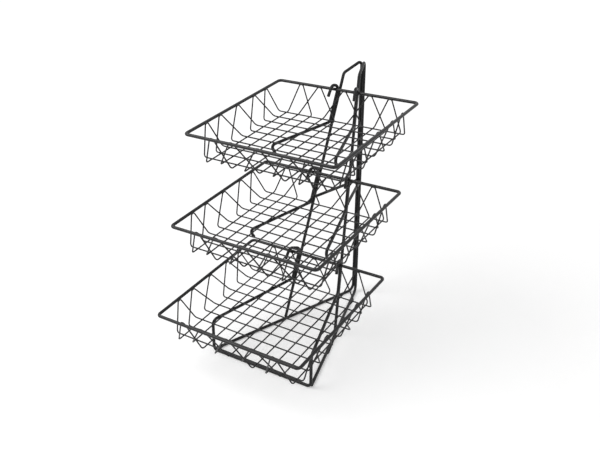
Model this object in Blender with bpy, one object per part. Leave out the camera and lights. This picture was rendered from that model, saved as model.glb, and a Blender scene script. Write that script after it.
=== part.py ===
"""Countertop display rack: a bent-rod stand that carries three wire baskets, hung one above the other.

Metres, +Z up, front towards -Y. The origin lies on the table under the middle of the rack.
"""

import math

import bpy
from mathutils import Quaternion, Vector

OBJECT_NAME = "wire_basket_display_rack"

# Stock, and the gap that pieces keep where they are welded together or rest on each other
FRAME_ROD = 0.006
RIM_ROD = 0.006
WIRE = 0.0027
WELD_GAP = 0.0003

# Basket rim, measured on the rod's centre line
BASKET_WIDTH = 0.305
BASKET_DEPTH = 0.2965
RIM_CORNER = 0.007

# Basket wires: the floor hangs below the rim, its edges lie inside it
BASKET_DROP = 0.055
SIDE_INSET = 0.0128
END_INSET = 0.016
SIDE_MARGIN = 0.0269
END_MARGIN = 0.02855
TURN_WIDTH = 0.007
TURN_BEND = 0.005
FLOOR_BEND = 0.006
CROSSING_GAP = 0.00045

# Floor wires are numbered from one side; each closed loop of wire makes two of them
FLOOR_WIRES = 10
LOOP_PAIRS = ((0, 2), (1, 4), (3, 6), (5, 8), (7, 9))

# Tiers, given by the rear rim of each basket: its height, and how far it lies ahead of the posts
TIERS = ("top", "middle", "bottom")
BASKET_TILT = math.radians(6.8)
TOP_HEIGHT = 0.468
TIER_DROP = 0.1578
TOP_FORWARD = 0.0665
TIER_STEP = 0.0506

# Frame rods: each lies in an upright plane that splays out from the posts
SPLAY = math.radians(16.8)
POST_HEIGHT = 0.5145
LEG_HEIGHT = 0.497
BASE_BEND = 0.015
POST_BEND = 0.007
LEG_BEND = 0.009

# Braces between post and leg
BRACE_HEIGHT = 0.263
BRACE_DROP = 0.006

# Hooks, bent over the rear rims: free space behind the rim, ahead of it and above it; the free end
# reaches below the rim and flares away from it
TOP_HOOK_SLACK = 0.0006
BOTTOM_HOOK_SLACK = 0.0115
HOOK_ROOM = 0.0047
HOOK_HEADROOM = 0.0016
HOOK_END = 0.0165
HOOK_FLARE = 0.003
HOOK_BEND = 0.008

# Support arms, which run on from the hooks of the two upper tiers
ARM_BEND = 0.008
ARM_REACH = 0.159
TIP_DROP = 0.018
TIP_BACK = 0.01
TIP_BEND = 0.008

# Front stand rod, which runs on from the hooks of the bottom tier
RISER_REACH = 0.3735
RAIL_BEND = 0.012
CORNER_BEND = 0.009

# Facets of the round stock, and straight steps in a bend
ROD_SIDES = 10
WIRE_SIDES = 6
ROD_STEPS = 4
WIRE_STEPS = 2

# A bend uses at most this share of the straight run beside it
BEND_SHARE = 0.48

# Places that follow from the sizes above
LAST_TIER = len(TIERS) - 1
POST_X = (FRAME_ROD + WELD_GAP) / 2
BESIDE_ROD = FRAME_ROD + WELD_GAP
BOTTOM_FORWARD = TOP_FORWARD + LAST_TIER * TIER_STEP
POST_Y = (BOTTOM_FORWARD + BASKET_DEPTH * math.cos(BASKET_TILT) + (RIM_ROD - FRAME_ROD) / 2) / 2
BASE_Z = FRAME_ROD / 2 * math.cos(math.pi / ROD_SIDES)
LAYER_HALF = (WIRE + WELD_GAP) / 2
SUPPORT_DEPTH = BASKET_DROP + LAYER_HALF + WIRE / 2 + WELD_GAP + FRAME_ROD / 2


def clear_scene():
    for old in list(bpy.data.objects):
        bpy.data.objects.remove(old, do_unlink=True)


def powder_coat(name, colour, roughness):
    material = bpy.data.materials.new(name)
    material.use_nodes = True
    shader = material.node_tree.nodes["Principled BSDF"]
    shader.inputs["Base Color"].default_value = (*colour, 1.0)
    shader.inputs["Roughness"].default_value = roughness
    shader.inputs["Metallic"].default_value = 0.0
    return material


def bend(before, corner, after, radius, steps):
    """Points of the arc that rounds one corner of a path."""
    back = before - corner
    ahead = after - corner
    half_angle = back.angle(ahead) / 2
    room = BEND_SHARE * min(back.length, ahead.length)
    tangent = min(radius / math.tan(half_angle), room)
    radius = tangent * math.tan(half_angle)
    back.normalize()
    ahead.normalize()
    centre = corner + (back + ahead).normalized() * radius / math.sin(half_angle)
    first = corner + back * tangent - centre
    last = corner + ahead * tangent - centre
    axis = first.cross(last).normalized()
    sweep = first.angle(last)
    return [centre + Quaternion(axis, sweep * step / steps) @ first for step in range(steps + 1)]


def rounded(corners, steps):
    """A path through (point, bend radius) corners; a corner with no radius stays a plain point."""
    path = []
    for index, (corner, radius) in enumerate(corners):
        if radius == 0:
            path.append(corner)
            continue
        before = corners[index - 1][0]
        after = corners[(index + 1) % len(corners)][0]
        path.extend(bend(before, corner, after, radius, steps))
    return path


def rod(name, path, diameter, sides, material, closed=False, parent=None):
    """A round rod or wire along a path; a closed one runs back into its own start."""
    curve = bpy.data.curves.new(name, "CURVE")
    curve.dimensions = "3D"
    curve.bevel_depth = diameter / 2
    curve.bevel_resolution = sides // 2 - 2
    curve.use_fill_caps = True
    spline = curve.splines.new("POLY")
    spline.points.add(len(path) - 1)
    for point, place in zip(spline.points, path):
        point.co = (*place, 1.0)
    spline.use_cyclic_u = closed
    curve.materials.append(material)
    piece = bpy.data.objects.new(name, curve)
    piece.parent = parent
    bpy.data.collections[OBJECT_NAME].objects.link(piece)
    return piece


def hinge_place(tier):
    """Middle of a basket's rear rim, where it hangs in its hooks."""
    return Vector((0, POST_Y - TOP_FORWARD - tier * TIER_STEP, TOP_HEIGHT - tier * TIER_DROP))


def height_under_rim(tier, y, depth):
    """Height at y of the plane that lies `depth` below a basket's rim, parallel to it."""
    hinge = hinge_place(tier)
    return hinge.z + (y - hinge.y) * math.tan(BASKET_TILT) - depth / math.cos(BASKET_TILT)


def basket_hinge(tier):
    """The empty on a basket's turning axis: its pieces are placed in the frame of its rim."""
    hinge = bpy.data.objects.new(TIERS[tier] + "_basket_hinge", None)
    hinge.location = hinge_place(tier)
    hinge.rotation_euler.x = BASKET_TILT
    bpy.data.collections[OBJECT_NAME].objects.link(hinge)
    return hinge


def basket_rim(tier, hinge, material):
    half = BASKET_WIDTH / 2
    outline = ((half, 0), (-half, 0), (-half, -BASKET_DEPTH), (half, -BASKET_DEPTH))
    corners = [(Vector((x, y, 0)), RIM_CORNER) for x, y in outline]
    path = rounded(corners, ROD_STEPS)
    rod(TIERS[tier] + "_basket_rim", path, RIM_ROD, ROD_SIDES, material, closed=True, parent=hinge)


def floor_place(number, span):
    """Where a floor wire lies across the floor, measured from its middle."""
    return span * (number / (FLOOR_WIRES - 1) - 0.5)


def inner_step(span):
    """How much further in every second loop meets the floor, so that crossing legs pass clear."""
    pitch = span / (FLOOR_WIRES - 1)
    crossing = (1.5 * pitch - TURN_WIDTH) / (2.5 * pitch - TURN_WIDTH)
    return (WIRE + CROSSING_GAP) / crossing


def loop_corners(pair, span, floor_half, top_half, floor_level):
    """One closed wire: u runs along its two floor wires, v across them, w up."""
    first = floor_place(pair[0], span)
    second = floor_place(pair[1], span)
    middle = (first + second) / 2
    turn = TURN_WIDTH / 2
    corners = []
    for end, near, far, step in ((1, first, second, turn), (-1, second, first, -turn)):
        corners.append((Vector((end * floor_half, near, floor_level)), FLOOR_BEND))
        corners.append((Vector((end * top_half, middle - step, 0)), TURN_BEND))
        corners.append((Vector((end * top_half, middle + step, 0)), TURN_BEND))
        corners.append((Vector((end * floor_half, far, floor_level)), FLOOR_BEND))
    return corners


def basket_wires(tier, hinge, material):
    inside_rim = (RIM_ROD + WIRE) / 2 + WELD_GAP
    centre = Vector((0, -BASKET_DEPTH / 2, 0))
    side_span = BASKET_WIDTH - 2 * SIDE_MARGIN
    end_span = BASKET_DEPTH - 2 * END_MARGIN
    for index, pair in enumerate(LOOP_PAIRS):
        inner = index % 2

        side_half = BASKET_WIDTH / 2 - SIDE_INSET - inner * inner_step(end_span)
        top_half = BASKET_WIDTH / 2 - inside_rim
        corners = loop_corners(pair, end_span, side_half, top_half, -BASKET_DROP + LAYER_HALF)
        path = [centre + point for point in rounded(corners, WIRE_STEPS)]
        name = f"{TIERS[tier]}_basket_cross_wire_{index + 1}"
        rod(name, path, WIRE, WIRE_SIDES, material, closed=True, parent=hinge)

        end_half = BASKET_DEPTH / 2 - END_INSET - inner * inner_step(side_span)
        top_half = BASKET_DEPTH / 2 - inside_rim
        corners = loop_corners(pair, side_span, end_half, top_half, -BASKET_DROP - LAYER_HALF)
        turned = [Vector((-point.y, point.x, point.z)) for point in rounded(corners, WIRE_STEPS)]
        path = [centre + point for point in turned]
        name = f"{TIERS[tier]}_basket_long_wire_{index + 1}"
        rod(name, path, WIRE, WIRE_SIDES, material, closed=True, parent=hinge)


def wing_point(side, reach, height):
    """A point of one frame plane, `reach` out from its post."""
    x = POST_X + reach * math.sin(SPLAY)
    y = POST_Y - reach * math.cos(SPLAY)
    return Vector((side * x, y, height))


def rim_reach(tier):
    return (TOP_FORWARD + tier * TIER_STEP) / math.cos(SPLAY)


def leg_reach(height):
    """Reach of the sloping leg's centre line, which runs just behind the rims and the hooks' tails."""
    behind = RIM_ROD / 2 + BESIDE_ROD + FRAME_ROD / 2
    top = rim_reach(0) - (behind + TOP_HOOK_SLACK) / math.cos(SPLAY)
    bottom = rim_reach(LAST_TIER) - (behind + BOTTOM_HOOK_SLACK) / math.cos(SPLAY)
    return top + (bottom - top) * (TOP_HEIGHT - height) / (LAST_TIER * TIER_DROP)


def leg_lean():
    return math.atan(leg_reach(0) - leg_reach(1))


def frame_rod(side, label, material):
    """Base bar, rear post, top bar and sloping leg in one rod; the leg's foot stands on the bar."""
    end_y = wing_point(side, RISER_REACH, BASE_Z).y
    end_y += FRAME_ROD / 2 * (1 + math.sin(SPLAY)) + WELD_GAP
    front_end = (POST_Y - end_y) / math.cos(SPLAY)
    foot = BASE_Z + FRAME_ROD / 2 * (1 + math.sin(leg_lean())) + WELD_GAP
    corners = [
        (wing_point(side, front_end, BASE_Z), 0),
        (wing_point(side, 0, BASE_Z), BASE_BEND),
        (wing_point(side, 0, POST_HEIGHT), POST_BEND),
        (wing_point(side, leg_reach(LEG_HEIGHT), LEG_HEIGHT), LEG_BEND),
        (wing_point(side, leg_reach(foot), foot), 0),
    ]
    rod(label + "_frame_rod", rounded(corners, ROD_STEPS), FRAME_ROD, ROD_SIDES, material)


def brace(side, label, material):
    """A short bar welded between the front of the post and the rear of the leg."""
    leg_end = BRACE_HEIGHT - BRACE_DROP
    lean = leg_lean()
    slope = math.atan(BRACE_DROP / leg_reach(leg_end))
    start = FRAME_ROD / 2 * (1 + math.sin(slope)) + WELD_GAP
    end = leg_reach(leg_end) - FRAME_ROD / 2 * (1 / math.cos(lean) + math.tan(lean)) - WELD_GAP
    path = [wing_point(side, start, BRACE_HEIGHT), wing_point(side, end, leg_end)]
    rod(label + "_brace", path, FRAME_ROD, ROD_SIDES, material)


def beside_leg(side, tier, ahead, along):
    """A point in the leg's own directions, from where the leg passes the height of a tier's rim."""
    lean = leg_lean()
    height = hinge_place(tier).z
    reach = leg_reach(height) + ahead * math.cos(lean) - along * math.sin(lean)
    return wing_point(side, reach, height + along * math.cos(lean) + ahead * math.sin(lean))


def support_point(side, tier, reach):
    """A point of the plane in which the rods lie that carry a basket's floor."""
    place = wing_point(side, reach, 0)
    place.z = height_under_rim(tier, place.y, SUPPORT_DEPTH)
    return place


def tail_foot(side, tier):
    """Where a hook's tail, which runs down the front of the leg, meets the plane of its arm."""
    upper = beside_leg(side, tier, BESIDE_ROD, 0)
    lower = beside_leg(side, tier, BESIDE_ROD, -SUPPORT_DEPTH)
    upper_gap = upper.z - height_under_rim(tier, upper.y, SUPPORT_DEPTH)
    lower_gap = lower.z - height_under_rim(tier, lower.y, SUPPORT_DEPTH)
    return upper.lerp(lower, upper_gap / (upper_gap - lower_gap))


def hook_corners(side, tier):
    """Free end, arch over the rear rim, and tail down the leg to the bend into arm or rail."""
    rim_ahead = rim_reach(tier) - leg_reach(hinge_place(tier).z)
    rim_level = -rim_ahead * math.sin(leg_lean())
    beside_rim = (RIM_ROD + FRAME_ROD) / 2
    front = rim_ahead * math.cos(leg_lean()) + beside_rim + HOOK_ROOM
    top = rim_level + beside_rim + HOOK_HEADROOM
    return [
        (beside_leg(side, tier, front + HOOK_FLARE, rim_level - HOOK_END), 0),
        (beside_leg(side, tier, front, top), HOOK_BEND),
        (beside_leg(side, tier, BESIDE_ROD, top), HOOK_BEND),
        (tail_foot(side, tier), ARM_BEND),
    ]


def hook_arm(side, label, tier, material):
    """Hook and support arm in one rod; the arm's tip curls down and back."""
    tip = rim_reach(tier) + ARM_REACH
    tip_end = support_point(side, tier, tip - TIP_BACK)
    tip_end.z -= TIP_DROP
    corners = hook_corners(side, tier)
    corners.append((support_point(side, tier, tip), TIP_BEND))
    corners.append((tip_end, 0))
    name = f"{TIERS[tier]}_{label}_hook_arm"
    rod(name, rounded(corners, ROD_STEPS), FRAME_ROD, ROD_SIDES, material)


def front_stand_rod(material):
    """Both bottom hooks, the rails under the bottom basket, the risers and the front bar in one rod."""
    corners = []
    for side in (1, -1):
        half = hook_corners(side, LAST_TIER)
        half.append((support_point(side, LAST_TIER, RISER_REACH), RAIL_BEND))
        half.append((wing_point(side, RISER_REACH, BASE_Z), CORNER_BEND))
        corners.extend(half[::side])
    rod("front_stand_rod", rounded(corners, ROD_STEPS), FRAME_ROD, ROD_SIDES, material)


def build_stand():
    material = powder_coat("stand_coat", (0.016, 0.016, 0.017), 0.38)
    for side, label in ((-1, "left"), (1, "right")):
        frame_rod(side, label, material)
        brace(side, label, material)
        for tier in range(LAST_TIER):
            hook_arm(side, label, tier, material)
    front_stand_rod(material)


def build_baskets():
    rim_coat = powder_coat("rim_coat", (0.018, 0.018, 0.019), 0.36)
    wire_coat = powder_coat("wire_coat", (0.022, 0.022, 0.023), 0.42)
    for tier in range(len(TIERS)):
        hinge = basket_hinge(tier)
        basket_rim(tier, hinge, rim_coat)
        basket_wires(tier, hinge, wire_coat)


def main():
    clear_scene()
    collection = bpy.data.collections.new(OBJECT_NAME)
    bpy.context.scene.collection.children.link(collection)
    build_stand()
    build_baskets()


main()
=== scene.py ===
"""Looks of the wire basket display rack: round rods and wires, weld beads, powder coat and studio."""

import math

import bmesh
import bpy
from mathutils import Matrix, Quaternion, Vector
from mathutils.geometry import intersect_line_line


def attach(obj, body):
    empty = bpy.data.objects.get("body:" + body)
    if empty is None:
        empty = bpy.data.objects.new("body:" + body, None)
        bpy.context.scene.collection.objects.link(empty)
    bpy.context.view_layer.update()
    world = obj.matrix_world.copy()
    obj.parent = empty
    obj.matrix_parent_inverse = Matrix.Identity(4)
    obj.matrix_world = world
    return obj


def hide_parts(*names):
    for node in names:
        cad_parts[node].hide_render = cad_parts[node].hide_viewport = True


# Sizes of the rack, as in the part's source
FRAME_ROD = 0.006
RIM_ROD = 0.006
WIRE = 0.0027
WELD_GAP = 0.0003
BASKET_WIDTH = 0.305
BASKET_DEPTH = 0.2965
RIM_CORNER = 0.007
BASKET_DROP = 0.055
SIDE_INSET = 0.0128
END_INSET = 0.016
SIDE_MARGIN = 0.0269
END_MARGIN = 0.02855
TURN_WIDTH = 0.007
TURN_BEND = 0.005
FLOOR_BEND = 0.006
CROSSING_GAP = 0.00045
FLOOR_WIRES = 10
LOOP_PAIRS = ((0, 2), (1, 4), (3, 6), (5, 8), (7, 9))
TIERS = ("top", "middle", "bottom")
BASKET_TILT = math.radians(6.8)
TOP_HEIGHT = 0.468
TIER_DROP = 0.1578
TOP_FORWARD = 0.0665
TIER_STEP = 0.0506
SPLAY = math.radians(16.8)
POST_HEIGHT = 0.5145
LEG_HEIGHT = 0.497
BASE_BEND = 0.015
POST_BEND = 0.007
LEG_BEND = 0.009
BRACE_HEIGHT = 0.263
BRACE_DROP = 0.006
TOP_HOOK_SLACK = 0.0006
BOTTOM_HOOK_SLACK = 0.0115
HOOK_ROOM = 0.0047
HOOK_HEADROOM = 0.0016
HOOK_END = 0.0165
HOOK_FLARE = 0.003
HOOK_BEND = 0.008
ARM_BEND = 0.008
ARM_REACH = 0.159
TIP_DROP = 0.018
TIP_BACK = 0.01
TIP_BEND = 0.008
RISER_REACH = 0.3735
RAIL_BEND = 0.012
CORNER_BEND = 0.009
CAD_ROD_SIDES = 10
BEND_SHARE = 0.48

# Places that follow from the sizes above
LAST_TIER = len(TIERS) - 1
POST_X = (FRAME_ROD + WELD_GAP) / 2
BESIDE_ROD = FRAME_ROD + WELD_GAP
BOTTOM_FORWARD = TOP_FORWARD + LAST_TIER * TIER_STEP
POST_Y = (BOTTOM_FORWARD + BASKET_DEPTH * math.cos(BASKET_TILT) + (RIM_ROD - FRAME_ROD) / 2) / 2
BASE_Z = FRAME_ROD / 2 * math.cos(math.pi / CAD_ROD_SIDES)
LAYER_HALF = (WIRE + WELD_GAP) / 2
SUPPORT_DEPTH = BASKET_DROP + LAYER_HALF + WIRE / 2 + WELD_GAP + FRAME_ROD / 2

# Smoothness of the round stock: facets around it, steps in a bend, and the rounding of cut ends
ROD_SIDES = 20
WIRE_SIDES = 12
ROD_STEPS = 9
WIRE_STEPS = 6
EDGE_ROUND = 0.0009
EDGE_STEPS = 3

# Weld beads: spots where wires cross or meet the rim, stitches between rods, collars round rod ends;
# coat fills the seam between rods that lie side by side. A wire turns along the rim between the
# corners of RIM_TURNS
RIM_TURNS = ((1, 2), (5, 6))
SPOT_REACH = 0.0006
SPOT_WIDE = 0.00105
SPOT_HIGH = 0.00085
SPOT_FINENESS = 1
RIM_SPOT_LONG = 0.0032
BEAD = 0.0011
BEAD_OUT = 0.0021
BEAD_FINENESS = 2
BEAD_FACETS = 8
POST_STITCH = 0.016
TAIL_STITCH = 0.008
POST_STITCH_HEIGHTS = (0.055, 0.16, 0.33, 0.44)
TAIL_STITCH_SHARES = (0.15, 0.8)
TAIL_STITCH_MARGIN = 0.012
SEAM_FILL = 0.0012
POST_SEAM_MARGIN = 0.01
COLLAR_ROD = 0.00165
COLLAR_BACK = 0.0006
COLLAR_STEPS = 16

# Camera, solved from the photograph
VIEW_TURN = math.radians(32.739)
VIEW_RISE = math.radians(24.477)
VIEW_ROLL = math.radians(0.395)
VIEW_FROM_TOP_RIM = (0.7258, -1.2853, 0.3870)
IMAGE_WIDTH = 600
FOCAL_PIXELS = 783.45
SENSOR = 36.0
CENTRE_OFF = 0.5
VIEW_LIMIT = 100

# Studio: each lamp's name, place, size and power; the floor glows from near the rack to far off
LAMPS = (
    ("key", (-1.2, -1.05, 1.9), (1.5, 1.5), 34),
    ("fill", (1.6, -0.6, 1.2), (1.0, 1.4), 6),
    ("rear", (0.3, 1.5, 1.6), (1.6, 0.8), 3),
)
LAMP_TARGET = (0, 0, 0.25)
WORLD_LIGHT = 0.42
FLOOR_HALF = 12
FLOOR_GREY = 0.9
FLOOR_ROUGHNESS = 0.9
GLOW_DISTANCES = (0.5, 2.6)
GLOW_STRENGTHS = (0.28, 0.65)

# Powder coat: darkest and lightest grey, lowest and highest roughness, specular level
COAT_TINT = (1, 1, 1.05)
STAND_COAT = (0.007, 0.014, 0.26, 0.38, 0.23)
RIM_COAT = (0.010, 0.018, 0.28, 0.40, 0.27)
WIRE_COAT = (0.012, 0.022, 0.34, 0.48, 0.26)

# Noise in the coat: its scale, detail and roughness, and the part of its range that takes effect
CLOUD_NOISE = (70, 5, 0.6)
CLOUD_RANGE = (0.35, 0.68)
GLOSS_NOISE = (45, 4, 0.5)
GLOSS_RANGE = (0.3, 0.7)
PEEL_NOISE = (1100, 3, 0.55)
PEEL_STRENGTH = 0.16
PEEL_HEIGHT = 0.0002


# Paths of rods and wires

def bend(before, corner, after, radius, steps):
    """Points of the arc that rounds one corner of a path."""
    back = before - corner
    ahead = after - corner
    half_angle = back.angle(ahead) / 2
    room = BEND_SHARE * min(back.length, ahead.length)
    tangent = min(radius / math.tan(half_angle), room)
    radius = tangent * math.tan(half_angle)
    back.normalize()
    ahead.normalize()
    centre = corner + (back + ahead).normalized() * radius / math.sin(half_angle)
    first = corner + back * tangent - centre
    last = corner + ahead * tangent - centre
    axis = first.cross(last).normalized()
    sweep = first.angle(last)
    return [centre + Quaternion(axis, sweep * step / steps) @ first for step in range(steps + 1)]


def rounded(corners, steps):
    """A path through (point, bend radius) corners; a corner with no radius stays a plain point."""
    path = []
    for index, (corner, radius) in enumerate(corners):
        if radius == 0:
            path.append(corner)
            continue
        before = corners[index - 1][0]
        after = corners[(index + 1) % len(corners)][0]
        path.extend(bend(before, corner, after, radius, steps))
    return path


def hinge_place(tier):
    """Middle of a basket's rear rim, where it hangs in its hooks."""
    return Vector((0, POST_Y - TOP_FORWARD - tier * TIER_STEP, TOP_HEIGHT - tier * TIER_DROP))


def height_under_rim(tier, y, depth):
    """Height at y of the plane that lies `depth` below a basket's rim, parallel to it."""
    hinge = hinge_place(tier)
    return hinge.z + (y - hinge.y) * math.tan(BASKET_TILT) - depth / math.cos(BASKET_TILT)


def rim_path():
    """A basket's rim in its own frame, whose origin is the middle of the rear side."""
    half = BASKET_WIDTH / 2
    outline = ((half, 0), (-half, 0), (-half, -BASKET_DEPTH), (half, -BASKET_DEPTH))
    return rounded([(Vector((x, y, 0)), RIM_CORNER) for x, y in outline], ROD_STEPS)


def floor_place(number, span):
    """Where a floor wire lies across the floor, measured from its middle."""
    return span * (number / (FLOOR_WIRES - 1) - 0.5)


def inner_step(span):
    """How much further in every second loop meets the floor, so that crossing legs pass clear."""
    pitch = span / (FLOOR_WIRES - 1)
    apart_at_rim = 1.5 * pitch - TURN_WIDTH
    overlap_on_floor = pitch
    crossing = apart_at_rim / (apart_at_rim + overlap_on_floor)
    return (WIRE + CROSSING_GAP) / crossing


def loop_corners(pair, span, floor_half, top_half, floor_level):
    """One closed wire: two floor runs, joined at each end by two legs and a turn along the rim."""
    first = floor_place(pair[0], span)
    second = floor_place(pair[1], span)
    middle = (first + second) / 2
    turn = TURN_WIDTH / 2
    corners = []
    for end, near, far, step in ((1, first, second, turn), (-1, second, first, -turn)):
        corners.append((Vector((end * floor_half, near, floor_level)), FLOOR_BEND))
        corners.append((Vector((end * top_half, middle - step, 0)), TURN_BEND))
        corners.append((Vector((end * top_half, middle + step, 0)), TURN_BEND))
        corners.append((Vector((end * floor_half, far, floor_level)), FLOOR_BEND))
    return corners


def wire_corners():
    """Corners of a basket's ten wires, in the frame of its rim, by the end of their node's name."""
    inside_rim = (RIM_ROD + WIRE) / 2 + WELD_GAP
    centre = Vector((0, -BASKET_DEPTH / 2, 0))
    side_span = BASKET_WIDTH - 2 * SIDE_MARGIN
    end_span = BASKET_DEPTH - 2 * END_MARGIN
    wires = {}
    for index, pair in enumerate(LOOP_PAIRS):
        inner = index % 2
        side_half = BASKET_WIDTH / 2 - SIDE_INSET - inner * inner_step(end_span)
        top_half = BASKET_WIDTH / 2 - inside_rim
        corners = loop_corners(pair, end_span, side_half, top_half, -BASKET_DROP + LAYER_HALF)
        wires[f"cross_wire_{index + 1}"] = [(centre + point, radius) for point, radius in corners]
        end_half = BASKET_DEPTH / 2 - END_INSET - inner * inner_step(side_span)
        top_half = BASKET_DEPTH / 2 - inside_rim
        corners = loop_corners(pair, side_span, end_half, top_half, -BASKET_DROP - LAYER_HALF)
        turned = [(Vector((-point.y, point.x, point.z)), radius) for point, radius in corners]
        wires[f"long_wire_{index + 1}"] = [(centre + point, radius) for point, radius in turned]
    return wires


def wing_point(side, reach, height):
    """A point of one frame plane, `reach` out from its post."""
    x = POST_X + reach * math.sin(SPLAY)
    y = POST_Y - reach * math.cos(SPLAY)
    return Vector((side * x, y, height))


def rim_reach(tier):
    """Where a basket's rear rim crosses the frame planes."""
    return (TOP_FORWARD + tier * TIER_STEP) / math.cos(SPLAY)


def leg_reach(height):
    """Reach of the sloping leg's centre line, which runs just behind the rims and the hooks' tails."""
    behind = RIM_ROD / 2 + BESIDE_ROD + FRAME_ROD / 2
    top = rim_reach(0) - (behind + TOP_HOOK_SLACK) / math.cos(SPLAY)
    bottom = rim_reach(LAST_TIER) - (behind + BOTTOM_HOOK_SLACK) / math.cos(SPLAY)
    return top + (bottom - top) * (TOP_HEIGHT - height) / (LAST_TIER * TIER_DROP)


LEG_LEAN = math.atan(leg_reach(0) - leg_reach(1))
LEG_FOOT = BASE_Z + FRAME_ROD / 2 * (1 + math.sin(LEG_LEAN)) + WELD_GAP
BAR_END = RISER_REACH - (FRAME_ROD / 2 * (1 + math.sin(SPLAY)) + WELD_GAP) / math.cos(SPLAY)


def frame_corners(side):
    """Base bar, rear post, top bar and sloping leg in one rod; the leg's foot stands on the bar."""
    return [
        (wing_point(side, BAR_END, BASE_Z), 0),
        (wing_point(side, 0, BASE_Z), BASE_BEND),
        (wing_point(side, 0, POST_HEIGHT), POST_BEND),
        (wing_point(side, leg_reach(LEG_HEIGHT), LEG_HEIGHT), LEG_BEND),
        (wing_point(side, leg_reach(LEG_FOOT), LEG_FOOT), 0),
    ]


def brace_ends(side):
    """Ends of the short bar between the front of the post and the rear of the leg."""
    leg_end = BRACE_HEIGHT - BRACE_DROP
    slope = math.atan(BRACE_DROP / leg_reach(leg_end))
    start = FRAME_ROD / 2 * (1 + math.sin(slope)) + WELD_GAP
    inset = FRAME_ROD / 2 * (1 / math.cos(LEG_LEAN) + math.tan(LEG_LEAN)) + WELD_GAP
    end = leg_reach(leg_end) - inset
    return [wing_point(side, start, BRACE_HEIGHT), wing_point(side, end, leg_end)]


def beside_leg(side, tier, ahead, along):
    """A point in the leg's own directions, from where the leg passes the height of a tier's rim."""
    height = hinge_place(tier).z
    reach = leg_reach(height) + ahead * math.cos(LEG_LEAN) - along * math.sin(LEG_LEAN)
    return wing_point(side, reach, height + along * math.cos(LEG_LEAN) + ahead * math.sin(LEG_LEAN))


def support_point(side, tier, reach):
    """A point of the plane in which the rods lie that carry a basket's floor."""
    place = wing_point(side, reach, 0)
    place.z = height_under_rim(tier, place.y, SUPPORT_DEPTH)
    return place


def tail_foot(side, tier):
    """Where a hook's tail, which runs down the front of the leg, meets the plane of its arm."""
    upper = beside_leg(side, tier, BESIDE_ROD, 0)
    lower = beside_leg(side, tier, BESIDE_ROD, -SUPPORT_DEPTH)
    upper_gap = upper.z - height_under_rim(tier, upper.y, SUPPORT_DEPTH)
    lower_gap = lower.z - height_under_rim(tier, lower.y, SUPPORT_DEPTH)
    return upper.lerp(lower, upper_gap / (upper_gap - lower_gap))


def hook_corners(side, tier):
    """Free end, arch over the rear rim, and tail down the leg to the bend into arm or rail."""
    rim_ahead = rim_reach(tier) - leg_reach(hinge_place(tier).z)
    rim_level = -rim_ahead * math.sin(LEG_LEAN)
    beside_rim = (RIM_ROD + FRAME_ROD) / 2
    front = rim_ahead * math.cos(LEG_LEAN) + beside_rim + HOOK_ROOM
    top = rim_level + beside_rim + HOOK_HEADROOM
    return [
        (beside_leg(side, tier, front + HOOK_FLARE, rim_level - HOOK_END), 0),
        (beside_leg(side, tier, front, top), HOOK_BEND),
        (beside_leg(side, tier, BESIDE_ROD, top), HOOK_BEND),
        (tail_foot(side, tier), ARM_BEND),
    ]


def hook_arm_corners(side, tier):
    """Hook and support arm in one rod; the arm's tip curls down and back."""
    tip = rim_reach(tier) + ARM_REACH
    tip_end = support_point(side, tier, tip - TIP_BACK)
    tip_end.z -= TIP_DROP
    tip_corner = (support_point(side, tier, tip), TIP_BEND)
    return hook_corners(side, tier) + [tip_corner, (tip_end, 0)]


def front_stand_corners():
    """Both bottom hooks, the rails under the bottom basket, the risers and the front bar in one rod."""
    corners = []
    for side in (1, -1):
        half = hook_corners(side, LAST_TIER)
        half.append((support_point(side, LAST_TIER, RISER_REACH), RAIL_BEND))
        half.append((wing_point(side, RISER_REACH, BASE_Z), CORNER_BEND))
        corners.extend(half[::side])
    return corners


# Round stock and weld beads as meshes

def ring_frames(path, closed):
    """Direction of the path at each point, and a side direction carried along it without twist."""
    count = len(path)
    directions = []
    for index, place in enumerate(path):
        before = path[index - 1] if closed or index else place
        after = path[(index + 1) % count] if closed or index < count - 1 else place
        directions.append(((place - before).normalized() + (after - place).normalized()).normalized())
    side = directions[0].orthogonal().normalized()
    sides = [side]
    for first, second in zip(directions, directions[1:]):
        side = first.rotation_difference(second) @ side
        sides.append(side)
    if closed:
        home = directions[-1].rotation_difference(directions[0]) @ side
        twist = home.angle(sides[0])
        if home.cross(sides[0]).dot(directions[0]) < 0:
            twist = -twist
        sides = [Quaternion(d, twist * i / count) @ s for i, (d, s) in enumerate(zip(directions, sides))]
    return directions, sides


def add_ring(mesh, centre, direction, side, radius, facets):
    other = direction.cross(side)
    ring = []
    for facet in range(facets):
        angle = math.tau * facet / facets
        place = centre + radius * (math.cos(angle) * side + math.sin(angle) * other)
        ring.append(mesh.verts.new(place))
    return ring


def add_tube(mesh, path, radius, facets, closed=False):
    """A round tube along a path; its open ends are cut square with a rounded edge."""
    directions, sides = ring_frames(path, closed)
    edge = min(EDGE_ROUND, radius / 2)
    rings = []
    last = len(path) - 1
    for index, (place, direction, side) in enumerate(zip(path, directions, sides)):
        spots = [(0, 0)]
        if not closed and index in (0, last):
            quarter = [math.pi / 2 * step / EDGE_STEPS for step in range(EDGE_STEPS + 1)]
            spots = [(edge * (1 - math.sin(a)), edge * (1 - math.cos(a))) for a in reversed(quarter)]
            if index == last:
                spots = [(-along, drop) for along, drop in reversed(spots)]
        for along, drop in spots:
            centre = place + direction * along
            rings.append(add_ring(mesh, centre, direction, side, radius - drop, facets))
    pairs = list(zip(rings, rings[1:]))
    if closed:
        pairs.append((rings[-1], rings[0]))
    for first, second in pairs:
        for facet in range(facets):
            after = (facet + 1) % facets
            mesh.faces.new((first[facet], first[after], second[after], second[facet]))
    if not closed:
        mesh.faces.new(rings[0][::-1])
        mesh.faces.new(rings[-1])


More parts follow.
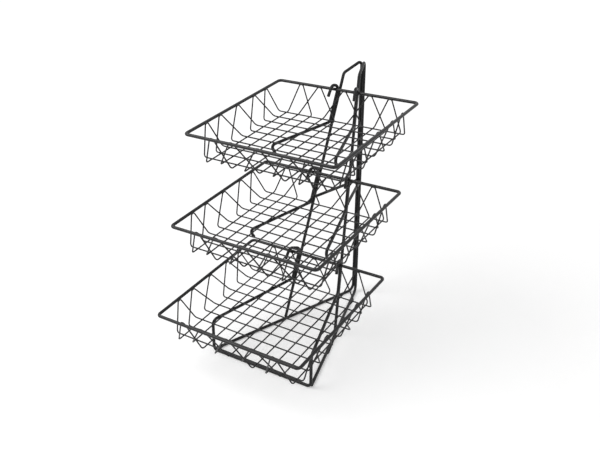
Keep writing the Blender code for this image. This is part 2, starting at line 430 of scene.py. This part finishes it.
def add_bead(mesh, centre, along, sizes, fineness=BEAD_FINENESS):
    """An ellipsoid of weld metal; sizes are its half lengths along `along` and across it."""
    turn = along.to_track_quat("X", "Z").to_matrix().to_4x4()
    scale = Matrix.Diagonal((sizes[0], sizes[1], sizes[2], 1))
    place = Matrix.Translation(centre) @ turn @ scale
    bmesh.ops.create_icosphere(mesh, subdivisions=fineness, radius=1, matrix=place)


def finish_piece(name, mesh, body, material, nodes=()):
    """Makes a smooth piece of a mesh, on a CAD body and in place of the nodes that it stands for."""
    bmesh.ops.recalc_face_normals(mesh, faces=mesh.faces)
    for face in mesh.faces:
        face.smooth = True
    data = bpy.data.meshes.new(name)
    mesh.to_mesh(data)
    mesh.free()
    data.materials.append(material)
    piece = bpy.data.objects.new(name, data)
    bpy.context.scene.collection.objects.link(piece)
    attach(piece, body)
    if nodes:
        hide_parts(*nodes)


def coated_rod(node, body, path, diameter, facets, material, closed=False):
    """A round rod or wire in place of one faceted CAD node."""
    mesh = bmesh.new()
    add_tube(mesh, path, diameter / 2, facets, closed)
    finish_piece(node + "_round", mesh, body, material, [node])


# Materials

def new_material(name):
    material = bpy.data.materials.new(name)
    material.use_nodes = True
    tree = material.node_tree
    return material, tree, tree.nodes["Principled BSDF"]


def noise(tree, place, scale, detail, roughness):
    node = tree.nodes.new("ShaderNodeTexNoise")
    node.inputs["Scale"].default_value = scale
    node.inputs["Detail"].default_value = detail
    node.inputs["Roughness"].default_value = roughness
    tree.links.new(place, node.inputs["Vector"])
    return node.outputs["Fac"]


def spread(tree, value, low, high, to_low, to_high):
    """Maps a value from one range to another."""
    node = tree.nodes.new("ShaderNodeMapRange")
    node.inputs["From Min"].default_value = low
    node.inputs["From Max"].default_value = high
    node.inputs["To Min"].default_value = to_low
    node.inputs["To Max"].default_value = to_high
    tree.links.new(value, node.inputs["Value"])
    return node.outputs["Result"]


def powder_coat(name, coat):
    """Black powder coat: a fine orange-peel skin, cloudy in colour and in gloss."""
    dark, light, gloss, rough, specular = coat
    material, tree, shader = new_material(name)
    place = tree.nodes.new("ShaderNodeTexCoord").outputs["Object"]
    ramp = tree.nodes.new("ShaderNodeValToRGB")
    for stop, position, grey in zip(ramp.color_ramp.elements, CLOUD_RANGE, (dark, light)):
        stop.position = position
        stop.color = (*(grey * part for part in COAT_TINT), 1)
    tree.links.new(noise(tree, place, *CLOUD_NOISE), ramp.inputs["Fac"])
    tree.links.new(ramp.outputs["Color"], shader.inputs["Base Color"])
    clouds = noise(tree, place, *GLOSS_NOISE)
    tree.links.new(spread(tree, clouds, *GLOSS_RANGE, gloss, rough), shader.inputs["Roughness"])
    bump = tree.nodes.new("ShaderNodeBump")
    bump.inputs["Strength"].default_value = PEEL_STRENGTH
    bump.inputs["Distance"].default_value = PEEL_HEIGHT
    tree.links.new(noise(tree, place, *PEEL_NOISE), bump.inputs["Height"])
    tree.links.new(bump.outputs["Normal"], shader.inputs["Normal"])
    shader.inputs["Metallic"].default_value = 0.0
    shader.inputs["Specular IOR Level"].default_value = specular
    return material


# The rack's pieces

def build_stand(material):
    for side, label in ((-1, "left"), (1, "right")):
        path = rounded(frame_corners(side), ROD_STEPS)
        coated_rod(label + "_frame_rod", "stand", path, FRAME_ROD, ROD_SIDES, material)
        coated_rod(label + "_brace", "stand", brace_ends(side), FRAME_ROD, ROD_SIDES, material)
        for tier in range(LAST_TIER):
            path = rounded(hook_arm_corners(side, tier), ROD_STEPS)
            node = f"{TIERS[tier]}_{label}_hook_arm"
            coated_rod(node, "stand", path, FRAME_ROD, ROD_SIDES, material)
    path = rounded(front_stand_corners(), ROD_STEPS)
    coated_rod("front_stand_rod", "stand", path, FRAME_ROD, ROD_SIDES, material)


def add_collar(mesh, centre, axis, radius):
    """A ring of weld metal round the end of a rod."""
    side = axis.orthogonal().normalized()
    turns = [Quaternion(axis, math.tau * step / COLLAR_STEPS) for step in range(COLLAR_STEPS)]
    ring = [centre + turn @ side * radius for turn in turns]
    add_tube(mesh, ring, COLLAR_ROD / 2, BEAD_FACETS, closed=True)


def add_post_seam(mesh):
    """Coat between the two posts, which stand side by side, and stitches before and behind it."""
    bottom = Vector((0, POST_Y, BASE_Z + BASE_BEND))
    top = Vector((0, POST_Y, POST_HEIGHT - POST_SEAM_MARGIN))
    add_tube(mesh, [bottom, top], SEAM_FILL / 2, BEAD_FACETS)
    for height in POST_STITCH_HEIGHTS:
        for face in (-1, 1):
            centre = Vector((0, POST_Y + face * BEAD_OUT, height))
            add_bead(mesh, centre, Vector((0, 0, 1)), (POST_STITCH, BEAD, BEAD))


def add_tail_seam(mesh, side, tier, leg_down):
    """Coat between a leg and the hook's tail before it, and stitches on both sides of it."""
    across = Vector((side * math.cos(SPLAY), math.sin(SPLAY), 0))
    top = beside_leg(side, tier, BESIDE_ROD / 2, 0)
    foot = tail_foot(side, tier) + top - beside_leg(side, tier, BESIDE_ROD, 0)
    seam = [top + leg_down * HOOK_BEND, foot - leg_down * ARM_BEND]
    add_tube(mesh, seam, SEAM_FILL / 2, BEAD_FACETS)
    start = top + leg_down * TAIL_STITCH_MARGIN
    end = foot - leg_down * TAIL_STITCH_MARGIN
    for share in TAIL_STITCH_SHARES:
        for face in (-1, 1):
            centre = start.lerp(end, share) + across * face * BEAD_OUT
            add_bead(mesh, centre, leg_down, (TAIL_STITCH, BEAD, BEAD))


def add_collars(mesh, side, leg_down):
    """Weld metal round both ends of a brace, the leg's foot and the front end of the base bar."""
    first, last = brace_ends(side)
    along_brace = (last - first).normalized()
    foot = wing_point(side, leg_reach(LEG_FOOT), LEG_FOOT)
    bar_end = wing_point(side, BAR_END, BASE_Z)
    along_bar = (wing_point(side, 0, BASE_Z) - bar_end).normalized()
    for end, inward in ((first, along_brace), (last, -along_brace), (foot, -leg_down)):
        add_collar(mesh, end + inward * COLLAR_BACK, inward, FRAME_ROD / 2)
    add_collar(mesh, bar_end + along_bar * COLLAR_BACK, along_bar, (FRAME_ROD - COLLAR_ROD) / 2)


def build_stand_welds(material):
    mesh = bmesh.new()
    add_post_seam(mesh)
    for side in (-1, 1):
        leg_down = (wing_point(side, leg_reach(0), 0) - wing_point(side, leg_reach(1), 1)).normalized()
        for tier in range(len(TIERS)):
            add_tail_seam(mesh, side, tier, leg_down)
        add_collars(mesh, side, leg_down)
    finish_piece("stand_welds", mesh, "stand", material)


def basket_place(tier):
    """Takes a point from the frame of a basket's rim to that of the rack."""
    return Matrix.Translation(hinge_place(tier)) @ Matrix.Rotation(BASKET_TILT, 4, "X")


def spot_welds(wires):
    """Where two wires of a basket pass each other closely: the middle point, and the way across."""
    runs = []
    for name, corners in wires.items():
        places = [place for place, radius in corners]
        runs.extend((name, places[i - 1], places[i]) for i in range(len(places)))
    spots = []
    for index, (name, a, b) in enumerate(runs):
        for other, c, d in runs[index + 1:]:
            if other == name:
                continue
            near = intersect_line_line(a, b, c, d)
            if near is None or (near[0] - near[1]).length > WIRE + SPOT_REACH:
                continue
            on_first = 0 <= (near[0] - a).dot(b - a) <= (b - a).length_squared
            on_second = 0 <= (near[1] - c).dot(d - c) <= (d - c).length_squared
            if on_first and on_second:
                spots.append(((near[0] + near[1]) / 2, (near[1] - near[0]).normalized()))
    return spots


def rim_welds(wires):
    """Where the turns of a basket's wires meet its rim: the middle point, and the way along the rim."""
    centre = Vector((0, -BASKET_DEPTH / 2, 0))
    welds = []
    for corners in wires.values():
        for first, second in RIM_TURNS:
            start = corners[first][0]
            along = corners[second][0] - start
            middle = start + along / 2
            outward = middle - centre
            outward = (outward - outward.project(along)).normalized()
            welds.append((middle + outward * (WIRE + WELD_GAP) / 2, along))
    return welds


def build_basket(tier, rim_material, wire_material):
    place = basket_place(tier)
    turn = place.to_3x3()
    body = "basket_" + TIERS[tier]
    node = TIERS[tier] + "_basket_rim"
    path = [place @ point for point in rim_path()]
    coated_rod(node, body, path, RIM_ROD, ROD_SIDES, rim_material, closed=True)
    wires = wire_corners()
    for name, corners in wires.items():
        path = [place @ point for point in rounded(corners, WIRE_STEPS)]
        node = f"{TIERS[tier]}_basket_{name}"
        coated_rod(node, body, path, WIRE, WIRE_SIDES, wire_material, closed=True)
    mesh = bmesh.new()
    for spot, across in spot_welds(wires):
        add_bead(mesh, place @ spot, turn @ across, (SPOT_HIGH, SPOT_WIDE, SPOT_WIDE), SPOT_FINENESS)
    for spot, along in rim_welds(wires):
        add_bead(mesh, place @ spot, turn @ along, (RIM_SPOT_LONG, SPOT_WIDE, SPOT_WIDE))
    finish_piece(TIERS[tier] + "_basket_welds", mesh, body, wire_material)


# Studio

def add_lamp(name, place, size, power):
    data = bpy.data.lights.new(name, "AREA")
    data.shape = "RECTANGLE"
    data.size, data.size_y = size
    data.energy = power
    light = bpy.data.objects.new(name, data)
    light.location = place
    light.rotation_euler = (Vector(LAMP_TARGET) - Vector(place)).to_track_quat("-Z", "Y").to_euler()
    bpy.context.scene.collection.objects.link(light)


def seen_white(tree):
    """1 for rays from the camera, and for those that a glossy or clear surface sends on."""
    path = tree.nodes.new("ShaderNodeLightPath")
    value = path.outputs["Is Camera Ray"]
    for name in ("Is Glossy Ray", "Is Transmission Ray"):
        larger = tree.nodes.new("ShaderNodeMath")
        larger.operation = "MAXIMUM"
        tree.links.new(value, larger.inputs[0])
        tree.links.new(path.outputs[name], larger.inputs[1])
        value = larger.outputs[0]
    return value


def build_floor():
    """A pale floor that takes the rack's shadow and fades to white further off."""
    material, tree, shader = new_material("floor_paper")
    shader.inputs["Base Color"].default_value = (FLOOR_GREY, FLOOR_GREY, FLOOR_GREY, 1)
    shader.inputs["Roughness"].default_value = FLOOR_ROUGHNESS
    shader.inputs["Specular IOR Level"].default_value = 0.0
    shader.inputs["Emission Color"].default_value = (1, 1, 1, 1)
    distance = tree.nodes.new("ShaderNodeVectorMath")
    distance.operation = "LENGTH"
    tree.links.new(tree.nodes.new("ShaderNodeTexCoord").outputs["Object"], distance.inputs[0])
    glow = tree.nodes.new("ShaderNodeMath")
    glow.operation = "MULTIPLY"
    strength = spread(tree, distance.outputs["Value"], *GLOW_DISTANCES, *GLOW_STRENGTHS)
    tree.links.new(strength, glow.inputs[0])
    tree.links.new(seen_white(tree), glow.inputs[1])
    tree.links.new(glow.outputs[0], shader.inputs["Emission Strength"])
    mesh = bmesh.new()
    bmesh.ops.create_grid(mesh, x_segments=1, y_segments=1, size=FLOOR_HALF)
    data = bpy.data.meshes.new("floor")
    mesh.to_mesh(data)
    mesh.free()
    data.materials.append(material)
    floor = bpy.data.objects.new("floor", data)
    floor.location.z = BASE_Z - FRAME_ROD / 2
    bpy.context.scene.collection.objects.link(floor)


def build_studio():
    world = bpy.data.worlds.new("studio")
    world.use_nodes = True
    tree = world.node_tree
    background = tree.nodes["Background"]
    background.inputs["Color"].default_value = (1, 1, 1, 1)
    tree.links.new(spread(tree, seen_white(tree), 0, 1, WORLD_LIGHT, 1), background.inputs["Strength"])
    scene = bpy.context.scene
    scene.world = world
    scene.view_settings.view_transform = "Standard"
    for lamp in LAMPS:
        add_lamp(*lamp)
    build_floor()


def build_camera():
    """The photograph's camera: turned, raised and rolled, at its place from the top rear rim."""
    back = Vector((
        math.sin(VIEW_TURN) * math.cos(VIEW_RISE),
        -math.cos(VIEW_TURN) * math.cos(VIEW_RISE),
        math.sin(VIEW_RISE),
    ))
    right = Vector((math.cos(VIEW_TURN), math.sin(VIEW_TURN), 0))
    roll = Quaternion(back, VIEW_ROLL)
    right = roll @ right
    up = back.cross(right)
    data = bpy.data.cameras.new("camera")
    data.sensor_fit = "HORIZONTAL"
    data.sensor_width = SENSOR
    data.lens = FOCAL_PIXELS / IMAGE_WIDTH * SENSOR
    data.shift_x = -CENTRE_OFF / IMAGE_WIDTH
    data.shift_y = CENTRE_OFF / IMAGE_WIDTH
    data.clip_end = VIEW_LIMIT
    camera = bpy.data.objects.new("camera", data)
    turn = Matrix((right, up, back)).transposed().to_4x4()
    place = hinge_place(0) + Vector(VIEW_FROM_TOP_RIM)
    camera.matrix_world = Matrix.Translation(place) @ turn
    bpy.context.scene.collection.objects.link(camera)
    bpy.context.scene.camera = camera


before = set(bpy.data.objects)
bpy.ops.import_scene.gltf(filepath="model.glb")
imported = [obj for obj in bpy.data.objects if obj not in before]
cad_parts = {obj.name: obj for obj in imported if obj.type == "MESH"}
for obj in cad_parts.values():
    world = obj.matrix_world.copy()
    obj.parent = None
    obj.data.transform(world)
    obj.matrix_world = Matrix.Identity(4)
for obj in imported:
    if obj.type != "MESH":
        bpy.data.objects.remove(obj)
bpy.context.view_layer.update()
stand_coat = powder_coat("stand_coat", STAND_COAT)
rim_coat = powder_coat("rim_coat", RIM_COAT)
wire_coat = powder_coat("wire_coat", WIRE_COAT)
build_stand(stand_coat)
build_stand_welds(stand_coat)
for tier_number in range(len(TIERS)):
    build_basket(tier_number, rim_coat, wire_coat)
build_studio()
build_camera()
